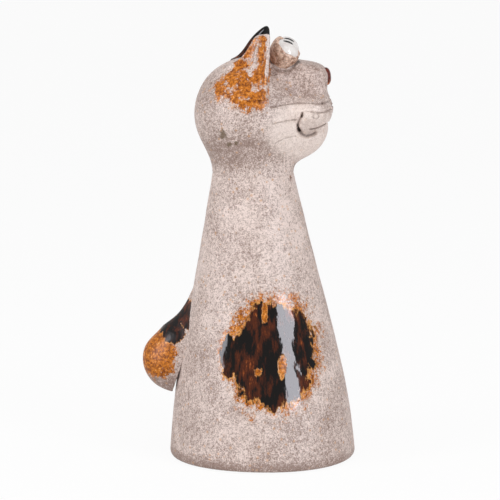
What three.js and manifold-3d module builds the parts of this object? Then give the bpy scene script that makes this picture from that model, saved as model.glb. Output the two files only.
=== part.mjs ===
// A hand-built stoneware cat. A thrown hollow cone, open at the foot, is the body. A hollow ball with a short
// collar is the head. The muzzle, eyes, ears and tail are small lumps of clay luted on with slip.
// Millimetres, +Z up. The cat looks along +X, so its right side is on -Y.

import * as THREE from 'three';
import { mergeVertices } from 'three/addons/utils/BufferGeometryUtils.js';
import Module from 'manifold-3d';

const wasm = await Module();
wasm.setup();

// ---- driving dimensions ----

// seams
const seam = 0.3;                 // the slip line between two luted pieces

// body: a cone of revolution, then leaned back a little
const seamHeight = 199.5;         // where the head is luted to the neck
const footRadius = 65;
const neckRadius = 28.3;
const footStraightness = 0.6;     // 0 is a plain cone, 1 stands upright above the foot
const sideSwell = 0.08;           // how far the side swells out between foot and neck
const lipRadius = 3;              // rounding of the outer edge of the foot
const innerLipRadius = 1.5;
const footWall = 8;
const neckWall = 5.5;
const ventRadius = 2;             // air hole pricked through the neck just under the seam
const ventAngle = -17;            // degrees from straight ahead, towards the right side
const ventDrop = 2.4;             // its middle below the seam

// head
const headRadius = 38.7;
const headAboveSeam = 41.5;       // middle of the ball above the seam
const headSetBack = 8.7;          // middle of the ball behind the middle of the foot
const headWall = 5.5;
const collarFlare = 7;            // how soon the collar turns out into the ball

// Each lump on the head is placed by the way it lies from the middle of the ball (ahead, outwards, up) and
// by how far its own middle stands out of the ball's surface, so it stays seated on a head of another size.

// muzzle
const snoutWay = [28.5, 0, 21];
const snoutOut = -3.3;
const snoutSize = [26.5, 17, 16.5];   // half length, half width, half height
const snoutTilt = 8;                  // degrees, nose end down
const snoutBoxiness = 2.9;            // 2 is an egg, more has fuller corners
const noseSunk = 3.4;                 // middle of the button behind the snout's foremost point
const noseAbove = 5.7;                // and above the snout's middle
const noseSize = [3.4, 5.6, 5.6];
const noseTilt = -14;
const padWay = [41, 12, -0.5];
const padOut = 4;
const padSize = [16, 14.5, 16];
const padSplay = 16;                  // degrees, each pad turned outwards
const jawWay = [28, 0, -13];
const jawOut = -7.8;
const jawSize = [25.3, 21, 20.5];
const jawTilt = -18;

// eyes: they stand on top of the snout, side by side
const eyeRadius = 8.9;
const eyeBehind = 4.5;                // middle of the eye behind the middle of the snout
const eyeSunk = 2.9;                  // how deep the ball is pressed into the snout
const lidThickness = 1;
const lidOpening = 0.38;              // the lid's edge, as a share of the eye's radius, up its own axis
const lidAxis = [0.65, 0.3, 0.7];     // ahead, outwards, up: where the open part of the eye faces

// ears
const earWay = [2.6, 20.5, 29];           // to the middle of the ear's foot line
const earOut = -3.1;
const earAcross = [0.69, 0.58, -0.43];    // along the foot, from the rear corner to the front one
const earUp = [0.4, 0.19, 0.9];           // from the foot to the tip
const earHalfWidth = 17;              // along the foot line
const earHeight = 31.5;
const earRoot = 12;                   // the ear's length below its foot line, before it is cut to the head
const earHalfThickness = 2.8;
const earBluntness = 0.8;             // 1 narrows evenly to the tip, less is rounder
const earCup = 4.5;                   // how far the side rims curl outwards
const earTipShift = 5;                // the tip leans towards the rear corner
const leftEarBack = 2.5;              // the left ear sits a little further back

// tail: a drop whose round end hangs down and whose tip runs up the back
const tailRadius = 19.5;
const tailFlatness = 0.9;             // half width over half depth of the round end
const tailHeight = 66;                // middle of the round end above the ground
const tailBehind = 8;                 // middle of the round end behind the body's surface
const tailLength = 41;                // from that middle to the tip
const tailTipRadius = 3;
const tailLean = 16.5;                // degrees from upright, tip towards the body

// facets
const aroundBody = 40;
const aroundBall = 32;
const upBall = 10;
const aroundLump = 24;
const upLump = 14;
const aroundSmall = 16;
const upSmall = 10;

// ---- clay: colours of the fired surface ----

const clay = (colour, roughness) => new THREE.MeshStandardMaterial({ color: colour, roughness, metalness: 0 });
const stoneware = clay(0xc3b3ab, 0.75);
const muzzleClay = clay(0xb9a49b, 0.75);
const whiteGlaze = clay(0xeeeeee, 0.2);
const lidClay = clay(0xa98f84, 0.6);
const noseGlaze = clay(0x5a1d12, 0.15);
const ironGlaze = clay(0xc37a2e, 0.5);
const darkGlaze = clay(0x2c1b14, 0.2);

// ---- solids ----

const rad = THREE.MathUtils.degToRad;
const headHeight = seamHeight + headAboveSeam;

// A closed geometry becomes a solid that can be joined and cut.
function solid(geometry) {
  const bare = geometry.index ? geometry : geometry.clone();
  bare.deleteAttribute('normal');
  bare.deleteAttribute('uv');
  const merged = mergeVertices(bare, 1e-4);
  const index = Uint32Array.from(merged.index.array);
  // Triangles that shrank to a line at a pole are left out.
  const kept = [];
  for (let i = 0; i < index.length; i += 3) {
    const [a, b, c] = [index[i], index[i + 1], index[i + 2]];
    if (a !== b && b !== c && c !== a) kept.push(a, b, c);
  }
  const mesh = new wasm.Mesh({
    numProp: 3,
    vertProperties: Float32Array.from(merged.attributes.position.array),
    triVerts: Uint32Array.from(kept),
  });
  return new wasm.Manifold(mesh);
}

function piece(name, shape, material) {
  const cut = shape.getMesh();
  const geometry = new THREE.BufferGeometry();
  geometry.setAttribute('position', new THREE.BufferAttribute(cut.vertProperties, cut.numProp));
  geometry.setIndex(new THREE.BufferAttribute(cut.triVerts, 1));
  geometry.computeVertexNormals();
  const mesh = new THREE.Mesh(geometry, material);
  mesh.name = name;
  return mesh;
}

const cutAll = (shape, cutters) => cutters.reduce((rest, cutter) => rest.subtract(cutter), shape);

// Moves every vertex of a geometry by a rule.
function reshape(geometry, rule) {
  const position = geometry.attributes.position;
  const p = new THREE.Vector3();
  for (let i = 0; i < position.count; i += 1) {
    rule(p.fromBufferAttribute(position, i));
    position.setXYZ(i, p.x, p.y, p.z);
  }
  return geometry;
}

// A sphere of radius 1 with its poles on Z.
const unitBall = (around, up) => new THREE.SphereGeometry(1, around, up).rotateX(Math.PI / 2);

// A rounded lump of clay: half sizes as given, grown all round by grow, nose down by tilt, swung by turn.
function lump(centre, size, { tilt = 0, turn = 0, grow = 0, boxiness = 2, small = false } = {}) {
  const ball = small ? unitBall(aroundSmall, upSmall) : unitBall(aroundLump, upLump);
  if (boxiness !== 2) {
    reshape(ball, (p) => {
      const norm = Math.abs(p.x) ** boxiness + Math.abs(p.y) ** boxiness + Math.abs(p.z) ** boxiness;
      p.divideScalar(norm ** (1 / boxiness));
    });
  }
  ball.scale(size[0] + grow, size[1] + grow, size[2] + grow);
  ball.rotateY(rad(tilt)).rotateZ(rad(turn));
  ball.translate(centre.x, centre.y, centre.z);
  return solid(ball);
}

// ---- body ----

// How far the clay leans back at a height: the cone is pushed over more and more towards the head.
const lean = (z) => -headSetBack * Math.min(Math.max(z, 0) / headHeight, 1) ** 1.3;
const leaned = (geometry) => reshape(geometry, (p) => { p.x += lean(p.z); });

function bodyRadius(z) {
  const t = (z - lipRadius) / (seamHeight - lipRadius);
  const fuller = footStraightness * t * (1 - t) ** 3 + sideSwell * t * (1 - t);
  return footRadius - (footRadius - neckRadius) * (t - fuller);
}

// LatheGeometry turns a profile of (radius, height) about its Y axis, which is then stood up along Z.
const turned = (profile, around) => new THREE.LatheGeometry(profile, around).rotateX(Math.PI / 2);

function arcPoints(x, z, radius, from, to, steps) {
  return new THREE.Path().absarc(x, z, radius, rad(from), rad(to), to < from).getSpacedPoints(steps);
}

function sidePoints(wallAt, grow, steps) {
  const points = [];
  for (let i = 0; i <= steps; i += 1) {
    const z = lipRadius + ((seamHeight - lipRadius) * i) / steps;
    points.push(new THREE.Vector2(bodyRadius(z) - wallAt(i / steps) + grow, z));
  }
  return points;
}

function bodyShell() {
  const wall = (t) => footWall + (neckWall - footWall) * t;
  const inside = sidePoints(wall, 0, 6).reverse();
  const outerLip = arcPoints(footRadius - lipRadius, lipRadius, lipRadius, -90, 0, 4);
  const innerFoot = inside[inside.length - 1].x;
  const innerLip = arcPoints(innerFoot + innerLipRadius, innerLipRadius, innerLipRadius, 180, 270, 2);
  const profile = [...outerLip.slice(0, -1), ...sidePoints(() => 0, 0, 9), ...inside, ...innerLip];
  profile.push(profile[0].clone());
  return solid(leaned(turned(profile, aroundBody)));
}

// The body's outside as one full solid, to cut the pieces that sit against it.
function bodyFull(grow) {
  const profile = [
    new THREE.Vector2(0, 0),
    new THREE.Vector2(footRadius + grow, 0),
    ...sidePoints(() => 0, grow, 9),
    new THREE.Vector2(0, seamHeight),
  ];
  return solid(leaned(turned(profile, aroundBody)));
}

function vent() {
  const drill = new THREE.CylinderGeometry(ventRadius, ventRadius, neckRadius, 16);
  drill.rotateZ(Math.PI / 2);
  drill.translate(neckRadius, 0, seamHeight - ventDrop);
  drill.rotateZ(rad(ventAngle));
  drill.translate(lean(seamHeight), 0, 0);
  return solid(drill);
}

const bodyCone = bodyShell().subtract(vent());

// ---- head ----

const headCentre = new THREE.Vector3(-headSetBack, 0, headHeight);

// The point that lies a given way from the middle of the ball and stands out of its surface by a distance.
function onHead([ahead, outwards, up], out, side = 1) {
  const way = new THREE.Vector3(ahead, side * outwards, up).setLength(headRadius + out);
  return way.add(headCentre);
}

// The collar leaves the neck upright and turns out until it runs into the ball.
function collarPoints(grow) {
  const ballRadius = headRadius + grow;
  const startHeight = seamHeight + seam;
  const meetAngle = -30;
  const meet = new THREE.Vector2(
    ballRadius * Math.cos(rad(meetAngle)),
    headHeight + ballRadius * Math.sin(rad(meetAngle)),
  );
  const along = new THREE.Vector2(-Math.sin(rad(meetAngle)), Math.cos(rad(meetAngle)));
  const flare = new THREE.CubicBezierCurve(
    new THREE.Vector2(neckRadius + grow, startHeight),
    new THREE.Vector2(neckRadius + grow, startHeight + collarFlare),
    meet.clone().addScaledVector(along, -collarFlare * 1.4),
    meet,
  );
  return [...flare.getPoints(7), ...arcPoints(0, headHeight, ballRadius, meetAngle, 90, upBall).slice(1)];
}

function headSolid(grow) {
  const outside = collarPoints(grow);
  const profile = [new THREE.Vector2(0, outside[0].y), ...outside];
  profile[profile.length - 1].x = 0;
  return solid(leaned(turned(profile, aroundBall)));
}

function headShell() {
  const innerRadius = headRadius - headWall;
  const innerNeck = neckRadius - neckWall;
  const neckAngle = -THREE.MathUtils.radToDeg(Math.acos(innerNeck / innerRadius));
  const outside = collarPoints(0);
  const inside = arcPoints(0, headHeight, innerRadius, 90, neckAngle, upBall);
  outside[outside.length - 1].x = 0;
  inside[0].x = 0;
  const profile = [...inside, new THREE.Vector2(innerNeck, outside[0].y), ...outside];
  return solid(leaned(turned(profile, aroundBall)));
}

const headBody = headSolid(seam);

// ---- muzzle ----

const snoutMiddle = onHead(snoutWay, snoutOut);
const noseMiddle = snoutMiddle.clone().add(new THREE.Vector3(snoutSize[0] - noseSunk, 0, noseAbove));
const snoutLump = (grow) =>
  lump(snoutMiddle, snoutSize, { tilt: snoutTilt, boxiness: snoutBoxiness, grow });
const jawLump = (grow) => lump(onHead(jawWay, jawOut), jawSize, { tilt: jawTilt, grow });
const padLump = (side, grow) =>
  lump(onHead(padWay, padOut, side), padSize, { turn: side * padSplay, grow });
const noseLump = lump(noseMiddle, noseSize, { tilt: noseTilt, small: true });

// Everything on one side of the middle plane of the cat, less half a seam.
function halfSpace(side) {
  const reach = 2 * headHeight;
  const block = new THREE.BoxGeometry(reach, reach, reach);
  block.translate(0, (side * (reach + seam)) / 2, headHeight);
  return solid(block);
}

const snout = cutAll(snoutLump(0), [headBody]);
const pad = (side) => cutAll(padLump(side, 0).intersect(halfSpace(side)), [headBody, snoutLump(seam)]);
const lowerJaw = cutAll(jawLump(0), [headBody, snoutLump(seam), padLump(1, seam), padLump(-1, seam)]);
const noseTip = noseLump.subtract(snoutLump(seam));

// ---- eyes ----

const eyeMiddle = (side) => new THREE.Vector3(
  snoutMiddle.x - eyeBehind,
  side * (eyeRadius + lidThickness),
  snoutMiddle.z + snoutSize[2] + eyeRadius - eyeSunk,
);
const eyeBall = (side, radius) => lump(eyeMiddle(side), [radius, radius, radius], { small: true });

// A thick plate whose lower face is the edge of the lid and which covers the open part of the eye.
function lidGap(side) {
  const reach = 4 * eyeRadius;
  const plate = new THREE.BoxGeometry(reach, reach, reach).translate(0, 0, reach / 2 + lidOpening * eyeRadius);
  const axis = new THREE.Vector3(lidAxis[0], side * lidAxis[1], lidAxis[2]).normalize();
  plate.applyQuaternion(new THREE.Quaternion().setFromUnitVectors(new THREE.Vector3(0, 0, 1), axis));
  plate.translate(...eyeMiddle(side));
  return solid(plate);
}

const eyeSeat = [headBody, snoutLump(seam)];
const eyeball = (side) => cutAll(eyeBall(side, eyeRadius).intersect(halfSpace(side)), eyeSeat);
const eyelid = (side) =>
  cutAll(eyeBall(side, eyeRadius + seam + lidThickness).intersect(halfSpace(side)), [
    eyeBall(side, eyeRadius + seam),
    lidGap(side),
    ...eyeSeat,
  ]);

// ---- ears ----

// A pinched triangle of clay, its pole at the tip and its side rims curled outwards. The ball's rings become
// the ear's cross-sections: full at the foot line, narrowing above it and rounded off below it.
function ear(side) {
  const petal = unitBall(aroundLump, upLump);
  const outwards = -side;
  reshape(petal, (p) => {
    const ring = Math.max(Math.hypot(p.x, p.y), 1e-6);
    const rise = ((p.z + 1) / 2) * (earHeight + earRoot) - earRoot;
    const t = rise / earHeight;
    const narrow = rise > 0 ? (1 - t) ** earBluntness : Math.sqrt(Math.max(1 - (rise / earRoot) ** 2, 0));
    const thin = Math.min(2 * ring, 1);
    const across = (p.x / ring) * narrow;
    const curl = outwards * earCup * (across * across - 0.4);
    p.set(earHalfWidth * across - earTipShift * Math.max(t, 0), rise, curl - earHalfThickness * (p.y / ring) * thin);
  });
  const along = new THREE.Vector3(earAcross[0], side * earAcross[1], earAcross[2]).normalize();
  const up = new THREE.Vector3(earUp[0], side * earUp[1], earUp[2]);
  up.addScaledVector(along, -up.dot(along)).normalize();
  const face = new THREE.Vector3().crossVectors(along, up);
  petal.applyMatrix4(new THREE.Matrix4().makeBasis(along, up, face));
  const foot = onHead(earWay, earOut, side);
  petal.translate(foot.x - (side > 0 ? leftEarBack : 0), foot.y, foot.z);
  return cutAll(solid(petal), [headBody]);
}

// ---- tail ----

function tailDrop() {
  // The straight flank of the drop touches the round end and the tip's small rounding.
  const flank = THREE.MathUtils.radToDeg(Math.asin((tailRadius - tailTipRadius) / (tailLength - tailTipRadius)));
  const roundEnd = arcPoints(0, 0, tailRadius, -90, flank, 12);
  const tip = arcPoints(0, tailLength - tailTipRadius, tailTipRadius, flank, 90, 3);
  roundEnd[0].x = 0;
  tip[tip.length - 1].x = 0;
  const drop = turned([...roundEnd, ...tip], aroundLump);
  drop.scale(1, tailFlatness, 1);
  drop.rotateY(rad(tailLean));
  drop.translate(lean(tailHeight) - bodyRadius(tailHeight) - tailBehind, 0, tailHeight);
  return solid(drop);
}

const tail = tailDrop().subtract(bodyFull(seam));

// ---- the cat ----

const cat = new THREE.Group();
cat.add(piece('body_cone', bodyCone, stoneware));
cat.add(piece('head_shell', headShell(), stoneware));
cat.add(piece('snout', snout, muzzleClay));
cat.add(piece('nose_tip', noseTip, noseGlaze));
cat.add(piece('lower_jaw', lowerJaw, muzzleClay));
cat.add(piece('tail', tail, ironGlaze));
for (const [word, side] of [['right', -1], ['left', 1]]) {
  cat.add(piece(`whisker_pad_${word}`, pad(side), muzzleClay));
  cat.add(piece(`eyeball_${word}`, eyeball(side), whiteGlaze));
  cat.add(piece(`eyelid_${word}`, eyelid(side), lidClay));
  cat.add(piece(`ear_${word}`, ear(side), side < 0 ? ironGlaze : darkGlaze));
}

// The origin is on the ground under the middle of the whole cat.
const box = new THREE.Box3().setFromObject(cat);
const middle = box.getCenter(new THREE.Vector3());
cat.position.set(-middle.x, -middle.y, -box.min.z);

export default cat;
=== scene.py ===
# %% [markdown]
# # A stoneware cat with glaze splashes
# The real figurine is a hollow cone of speckled stoneware with a hollow ball for a head. The muzzle,
# whisker pads, chin, ears, eyes and tail are lumps of clay that were pressed on and smoothed over.
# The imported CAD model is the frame: it gives every size and place, and this lesson builds the clay
# skin, the incised lines and the glazes around it.
# %% Load the frame
import math
import bmesh
import bpy
import numpy as np
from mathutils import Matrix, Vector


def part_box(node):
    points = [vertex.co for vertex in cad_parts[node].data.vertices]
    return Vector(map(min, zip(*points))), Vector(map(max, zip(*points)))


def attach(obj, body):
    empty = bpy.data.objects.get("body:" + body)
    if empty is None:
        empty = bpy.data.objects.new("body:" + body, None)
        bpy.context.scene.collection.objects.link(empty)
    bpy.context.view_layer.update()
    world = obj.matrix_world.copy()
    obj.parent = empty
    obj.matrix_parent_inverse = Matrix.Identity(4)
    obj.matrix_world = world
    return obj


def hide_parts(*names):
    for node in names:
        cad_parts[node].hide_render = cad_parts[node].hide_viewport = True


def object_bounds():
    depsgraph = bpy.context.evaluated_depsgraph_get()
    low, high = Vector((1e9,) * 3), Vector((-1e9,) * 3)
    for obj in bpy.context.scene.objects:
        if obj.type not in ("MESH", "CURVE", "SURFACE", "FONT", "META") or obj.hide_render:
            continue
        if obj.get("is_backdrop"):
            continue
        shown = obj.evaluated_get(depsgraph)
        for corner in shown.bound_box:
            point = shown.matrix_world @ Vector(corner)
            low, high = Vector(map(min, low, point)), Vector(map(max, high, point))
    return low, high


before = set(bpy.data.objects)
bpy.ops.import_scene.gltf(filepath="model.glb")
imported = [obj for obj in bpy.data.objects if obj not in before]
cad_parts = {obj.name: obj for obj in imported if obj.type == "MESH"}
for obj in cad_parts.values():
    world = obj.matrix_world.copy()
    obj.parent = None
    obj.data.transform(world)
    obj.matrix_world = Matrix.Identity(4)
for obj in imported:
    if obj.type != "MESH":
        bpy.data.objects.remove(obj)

import openvdb
from mathutils import Vector

cad_low, cad_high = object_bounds()
print("CAD box in metres:", [round(v, 4) for v in (*cad_low, *cad_high)])

# %% [markdown]
# A potter thinks in millimetres, and so do all the shape rules below. Blender works in metres, so a
# mesh is scaled once, when it is made. Each measure comes from the box of a CAD node.
# %% Measure the clay forms
MM = 0.001


def box_mm(node):
    low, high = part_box(node)
    return np.array(low) / MM, np.array(high) / MM


body_low, body_high = box_mm("body_cone")
foot_x = (body_low[0] + body_high[0]) / 2
foot_radius = (body_high[1] - body_low[1]) / 2
seam_z = body_high[2]
neck_radius = 28.3
foot_wall = 8.0
neck_wall = 5.5
head_wall = 5.5
lean = 8.7                 # how far the head stands behind the middle of the foot

ball_low, ball_high = box_mm("head_shell")
ball_radius = (ball_high[1] - ball_low[1]) / 2 * 1.005
ball_middle = np.array([foot_x - lean, 0.0, ball_high[2] - ball_radius])
print("foot radius", round(foot_radius, 1), "head radius", round(ball_radius, 1))

# %% [markdown]
# Clay lumps melt into each other, and that is hard to copy with separate meshes. A distance rule does
# it well: for any point it says how far the clay's surface is, negative inside. Two rules are joined
# with a soft minimum, which fills the corner between them like a finger wiping slip into a joint.
# %% Rules for joining and cutting clay
def smooth_step(low, high, value):
    t = np.clip((value - low) / (high - low), 0, 1)
    return t * t * (3 - 2 * t)


def soft_join(a, b, k):
    h = np.clip(0.5 + 0.5 * (b - a) / k, 0, 1)
    return b + (a - b) * h - k * h * (1 - h)


def soft_keep(a, b, k):
    """The clay that lies inside both a and b, with a rounded edge."""
    return -soft_join(-a, -b, k)


def soft_cut(a, b, k):
    """Clay a with b carved out of it."""
    return -soft_join(-a, b, k)


print("two surfaces 1 mm away, joined over 4 mm:", soft_join(np.ones(1), np.ones(1), 4.0)[0])

# %% [markdown]
# A lump is an egg or a rounded box. It can nod about the Y axis and swing about the Z axis.
# Its exact distance has no short formula, so the rule divides by the slope of its own equation,
# which is right close to the surface, where it matters.
# %% Lumps and tapered rolls
def lump(place, middle, radii, nod=0.0, swing=0.0, power=2.0):
    offset = place - np.array(middle)
    s, c = math.sin(math.radians(-swing)), math.cos(math.radians(-swing))
    x = offset[:, 0] * c - offset[:, 1] * s
    y = offset[:, 0] * s + offset[:, 1] * c
    s, c = math.sin(math.radians(nod)), math.cos(math.radians(nod))
    local = np.stack([x * c - offset[:, 2] * s, y, x * s + offset[:, 2] * c], axis=1)
    radii = np.array(radii)
    share = np.maximum(np.abs(local) / radii, 1e-5)
    size = (share ** power).sum(axis=1) ** (1 / power)
    slope = np.linalg.norm(share ** (power - 1) / radii, axis=1) * size ** (1 - power)
    return (size - 1) / slope * np.minimum(size, 1.0) ** 0.5


def roll(place, start, end, start_radius, end_radius):
    """A roll of clay from start to end whose thickness changes evenly."""
    axis = np.array(end) - np.array(start)
    along = np.clip((place - np.array(start)) @ axis / (axis @ axis), 0, 1)
    nearest = np.array(start) + along[:, None] * axis
    radius = start_radius + (end_radius - start_radius) * along
    return np.linalg.norm(place - nearest, axis=1) - radius


print("20 mm from the middle of an egg:", lump(np.array([[20.0, 0, 0]]), (0, 0, 0), (15, 10, 10))[0])

# %% [markdown]
# Hand-built clay is never quite even. A sum of long slow waves, a few tenths of a millimetre high,
# gives the surface the soft unevenness that makes reflections wander.
# %% The unevenness of hand-built clay
def unevenness(place):
    x, y, z = place[:, 0], place[:, 1], place[:, 2]
    waves = np.sin(0.21 * x + 0.13 * z + 1.0) * np.sin(0.19 * y - 0.09 * z)
    waves += 0.7 * np.sin(0.15 * z - 0.17 * x + 2.0) * np.sin(0.23 * y + 0.11 * x + 0.7)
    waves += 0.2 * np.sin(0.45 * x + 0.31 * y) * np.sin(0.33 * z + 0.21 * y + 1.3)
    return 0.15 * waves


print("the clay under the head is off by", round(unevenness(ball_middle[None, :])[0], 3), "mm")

# %% [markdown]
# The body is a cone thrown on a wheel. It leans back a little more towards the head, and its side
# swells above the foot. It could be a lathed profile, but a rule also gives the inside and the neck
# under the head, so that body and head meet without a step.
# %% The body's rule
def body_axis(z):
    return foot_x - lean * np.clip(z / ball_middle[2], 0, 1) ** 1.3


def body_width(z):
    t = np.clip((z - 3.0) / (seam_z - 3.0), 0, 1)
    fuller = 0.6 * t * (1 - t) ** 3 + 0.08 * t * (1 - t)
    return foot_radius - (foot_radius - neck_radius) * (t - fuller)


def column(place, inset=0.0):
    z = place[:, 2]
    across = np.hypot(place[:, 0] - body_axis(z), place[:, 1])
    return (across - body_width(z) + inset) * 0.975


def wall_at(z):
    return foot_wall + (neck_wall - foot_wall) * np.clip(z / seam_z, 0, 1)


def body_outside(place):
    lip = np.sin(np.arctan2(place[:, 1], place[:, 0] - foot_x) * 3 + 0.6) * 0.25
    outside = column(place) + unevenness(place) * smooth_step(0, 25, place[:, 2])
    outside = outside + 0.1 - 0.5 * smooth_step(20, 50, place[:, 2]) * smooth_step(150, 90, place[:, 2])
    return soft_keep(outside, 0.3 + lip - place[:, 2], 4.5)


print("half width at mid height:", round(float(body_width(seam_z / 2)), 1), "mm")

# %% [markdown]
# A closed hollow form needs a vent, or the air in it would burst it in the kiln. Here it is a hole
# pricked into the throat with the end of a brush, just under the join. It is carved from the rule, so
# its edge is rounded like wet clay, where a cut made in the mesh would be sharp.
# %% The hollow body with its vent
vent_angle = math.radians(-21)
vent_z = seam_z - 2.1
vent_depth = 3.4
vent_way = np.array([math.cos(vent_angle), math.sin(vent_angle), 0.0])
vent_middle = np.array([body_axis(np.array([vent_z]))[0], 0.0, vent_z]) + vent_way * neck_radius


def vent(place):
    low = vent_middle - np.array([0, 0, 0.6])
    high = vent_middle + np.array([0, 0, 0.4])
    hole = roll(place, low, high, 1.75, 1.6)
    inwards = (place - vent_middle) @ vent_way
    return np.where(inwards < 0, np.maximum(hole, -vent_depth - inwards), hole)


def body_rule(place):
    z = place[:, 2]
    inside = column(place, wall_at(z))
    solid = soft_keep(body_outside(place), -inside, 2.5)
    solid = soft_cut(solid, vent(place), 0.6)
    return np.maximum(solid, z - (seam_z + 0.25))


print("vent middle:", vent_middle.round(1))

# %% [markdown]
# The rule becomes a mesh in two steps. OpenVDB lays a skin of four-sided faces through a grid of
# distances. Then each corner walks down the rule's slope onto the exact surface, so a coarse grid
# still gives a true, smooth form.
# %% From a rule to a skin
def slope_of(rule, place, reach=0.05):
    slope = np.zeros_like(place)
    for axis in range(3):
        step = np.zeros(3)
        step[axis] = reach
        slope[:, axis] = (rule(place + step) - rule(place - step)) / (2 * reach)
    return slope


def settle(rule, place, most, rounds=3):
    """Moves points onto the surface of a rule, by at most a given distance each round."""
    for _ in range(rounds):
        slope = slope_of(rule, place)
        steep = np.maximum((slope ** 2).sum(axis=1), 0.05)
        move = np.clip(rule(place), -most, most) / steep
        place = place - slope * move[:, None]
    return place


def skin(rule, low, high, step):
    low = np.floor((np.array(low) - 2 * step) / step) * step
    counts = np.ceil((np.array(high) + 2 * step - low) / step).astype(int) + 1
    lines = [low[i] + step * np.arange(counts[i]) for i in range(3)]
    values = np.empty(counts, dtype=np.float32)
    for i, x in enumerate(lines[0]):
        y, z = np.meshgrid(lines[1], lines[2], indexing="ij")
        layer = np.stack([np.full(y.size, x), y.ravel(), z.ravel()], axis=1)
        values[i] = rule(layer).reshape(y.shape)
    grid = openvdb.FloatGrid(10.0)
    grid.copyFromArray(values)
    points, quads = grid.convertToQuads()
    place = points.astype(float) * step + low
    return settle(rule, place, step * 0.6), quads.astype(int)


def away_from_five(place):
    return np.linalg.norm(place, axis=1) - 5


print("a point settles from 5.4 mm to", settle(away_from_five, np.array([[5.4, 0, 0]]), 1.0)[0].round(3))

# %% [markdown]
# A point attribute remembers where a line was cut, because stain gathers there. Another remembers where
# two forms meet in a hollow, which the head darkens partly as pooled glaze and partly as painted shade.
# The hollow is measured with the rule itself: a little way out from a convex surface the distance grows
# by just that much, and in a hollow it grows by less.
# %% Measure the hollows
def hollow_of(rule, place, normals, reach=3.0):
    return np.clip(1 - rule(place + normals * reach) / reach, 0, 1)


out = np.array([[1.0, 0, 0]])
print("hollow of a ball:", hollow_of(away_from_five, 5 * out, out)[0], "(0 is fully convex)")

# %% [markdown]
# One helper turns corners and faces into a Blender object. It turns the faces outwards, writes the
# point attributes, and, for a cap that lies on another skin, sets normals from the joined rule. Light
# then runs over the edge of the cap as if both were one skin.
# %% Make a Blender object from a skin
def make_piece(name, place, faces, smooth_rule=None, marks=None):
    mesh = bpy.data.meshes.new(name)
    corners = place[faces]
    volume = np.einsum("ij,ij->i", corners[:, 0], np.cross(corners[:, 1], corners[:, 2])).sum()
    if volume < 0:
        faces = faces[:, ::-1]
    mesh.from_pydata((place * MM).tolist(), [], faces.tolist())
    mesh.shade_smooth()
    piece = bpy.data.objects.new(name, mesh)
    bpy.context.scene.collection.objects.link(piece)
    finish_mesh(piece, smooth_rule, marks)
    return piece


def finish_mesh(piece, smooth_rule, marks):
    mesh = piece.data
    place = np.empty(len(mesh.vertices) * 3, dtype=np.float32)
    mesh.vertices.foreach_get("co", place)
    place = place.reshape(-1, 3).astype(float) / MM
    for mark, measure in (marks or {}).items():
        layer = mesh.attributes.new(mark, "FLOAT", "POINT")
        layer.data.foreach_set("value", measure(place).astype(np.float32))
    if smooth_rule is not None:
        normals = slope_of(smooth_rule, place)
        normals /= np.maximum(np.linalg.norm(normals, axis=1), 1e-6)[:, None]
        mesh.normals_split_custom_set_from_vertices(normals.tolist())
    print(piece.name, len(mesh.polygons), "faces")


print("attributes to carry: stain, hollow, rim, fold")

# %% [markdown]
# The head is a ball that grows out of the neck. The muzzle is a rounded box, the chin an egg that
# hangs below it, and each whisker pad an egg at the side of the mouth. Left and right are the
# same, so the rule folds the space at the middle plane and models one side.
# %% The head's lumps
muzzle_middle = ball_middle + np.array([28.5, 0.0, 21.0])
jaw_middle = ball_middle + np.array([28.0, 0.0, -13.0])
pad_middle = ball_middle + np.array([42.0, 11.6, 1.8])
neck_blend = 9.0
muzzle_blend = 6.0
jaw_blend = 8.0
pad_blend = 0.9            # the pad's lower edge is nearly a crease; it melts in above


def pads(place):
    return lump(place, pad_middle, (14.6, 16.0, 12.6), nod=-24, swing=14, power=2.3)


def head_lumps(place):
    folded = place * np.array([1.0, 0.0, 1.0])
    folded[:, 1] = np.sqrt(place[:, 1] ** 2 + 0.09)
    z = place[:, 2]
    ball = np.linalg.norm(place - ball_middle, axis=1) - ball_radius
    neck = np.maximum(column(place), z - ball_middle[2])
    form = soft_join(neck, ball, neck_blend)
    muzzle = lump(folded, muzzle_middle, (24.9, 17.0, 16.3), nod=6.5, power=3.8)
    form = soft_join(form, muzzle, muzzle_blend)
    jaw = lump(folded, jaw_middle, (26.6, 20.0, 20.2), nod=-18)
    form = soft_join(form, jaw, jaw_blend)
    pad = pads(folded)
    rise = smooth_step(ball_middle[2] - 4, ball_middle[2] + 8, z)
    return soft_join(form, pad, pad_blend + 4.5 * rise)


print("muzzle at", muzzle_middle.round(1), "chin at", jaw_middle.round(1), "pad at", pad_middle.round(1))

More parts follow.
